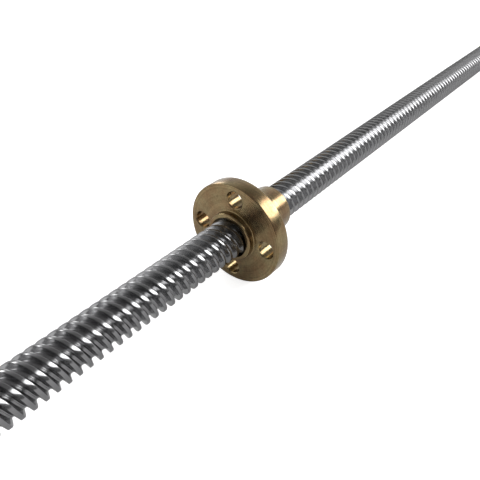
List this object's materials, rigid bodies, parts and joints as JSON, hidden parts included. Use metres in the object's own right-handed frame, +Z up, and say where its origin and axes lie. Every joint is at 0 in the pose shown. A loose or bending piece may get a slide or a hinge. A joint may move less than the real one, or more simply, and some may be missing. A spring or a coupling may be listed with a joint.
{
  "type": "trapezoidal lead screw with flange nut",
  "caption": "Long steel screw with a coarse trapezoidal thread, and the round brass nut with a drilled flange that travels along it.",
  "frame": {"origin": "on the table under the middle of the screw, centre of the bottom of the whole object's box", "axes": "+X along the screw in plan, from its near end to its far end, 2.54 degrees above the screw's own axis because the screw is shown lying propped on the nut's flange; +Z up from the table"},
  "size_m": [0.22, 0.022, 0.0221],
  "materials": {
    "screw_steel": "bright rolled and burnished steel",
    "nut_brass": "turned brass, bare"
  },
  "bodies": {
    "screw": {"lead_screw": "screw_steel"},
    "nut": {"flange_nut": "nut_brass"}
  },
  "joints": [
    {"name": "nut_travel", "type": "slide", "parent": "screw", "child": "nut", "axis": [0.999, 0, -0.0444], "range_m": [-0.048, 0.144]}
  ]
}
